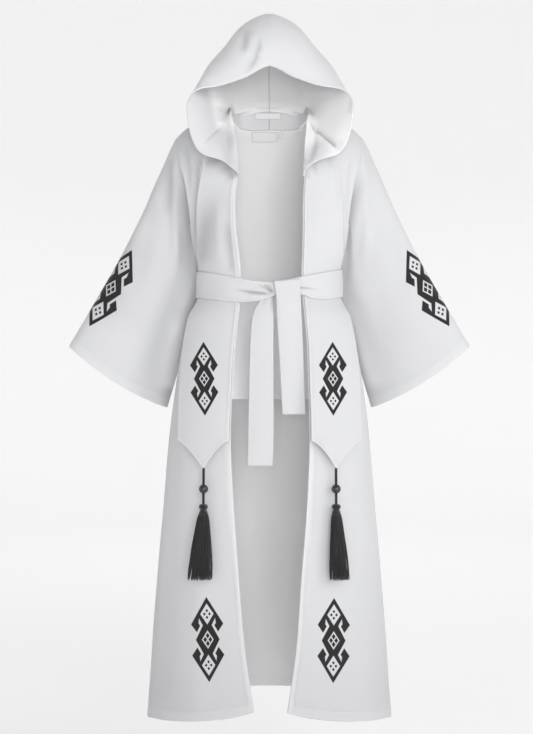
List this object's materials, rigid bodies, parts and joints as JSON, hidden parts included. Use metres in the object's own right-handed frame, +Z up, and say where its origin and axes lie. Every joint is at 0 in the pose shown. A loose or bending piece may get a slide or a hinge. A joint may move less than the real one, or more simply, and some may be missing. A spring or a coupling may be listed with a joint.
{
  "type": "kaftan",
  "caption": "Full-length hooded kaftan, open down the front, with wide sleeves, a tied belt, tasselled overlay panels and a half-lined back, filled out as if worn.",
  "frame": {"origin": "between the shoulders, on the side line, at the height where the shoulder seams meet the sleeves' tops: the mount 'shoulders'", "axes": "+Z up, the open front faces -Y, +X towards the picture's right"},
  "size_m": [0.9518, 0.4045, 1.6716],
  "materials": {
    "back": "matt plain-woven cloth",
    "front_left": "matt plain-woven cloth",
    "front_right": "matt plain-woven cloth",
    "sleeve_left": "matt plain-woven cloth",
    "sleeve_right": "matt plain-woven cloth",
    "neck_band": "matt plain-woven cloth",
    "hood_left": "matt plain-woven cloth",
    "hood_right": "matt plain-woven cloth",
    "stole_left": "matt plain-woven cloth",
    "stole_right": "matt plain-woven cloth",
    "belt_wrap": "matt plain-woven cloth",
    "belt_tail_left": "matt plain-woven cloth",
    "belt_tail_right": "matt plain-woven cloth",
    "back_lining": "matt plain-woven lining",
    "label_hood_seam": "smooth woven tape, bare",
    "label_back": "smooth woven tape, bare",
    "label_size": "smooth woven tape, bare",
    "tassel_cord_left": "twisted thread, matt",
    "tassel_cord_right": "twisted thread, matt",
    "tassel_bead_left": "turned bead, satin",
    "tassel_bead_right": "turned bead, satin",
    "tassel_left": "twisted thread, matt",
    "tassel_right": "twisted thread, matt"
  },
  "bodies": {
    "root": {"back": "back", "front_left": "front_left", "front_right": "front_right", "sleeve_left": "sleeve_left", "sleeve_right": "sleeve_right", "neck_band": "neck_band", "hood_left": "hood_left", "hood_right": "hood_right", "stole_left": "stole_left", "stole_right": "stole_right", "belt_wrap": "belt_wrap", "belt_tail_left": "belt_tail_left", "belt_tail_right": "belt_tail_right", "back_lining": "back_lining", "label_hood_seam": "label_hood_seam", "label_back": "label_back", "label_size": "label_size", "tassel_cord_left": "tassel_cord_left", "tassel_cord_right": "tassel_cord_right", "tassel_bead_left": "tassel_bead_left", "tassel_bead_right": "tassel_bead_right", "tassel_left": "tassel_left", "tassel_right": "tassel_right"}
  },
  "joints": []
}
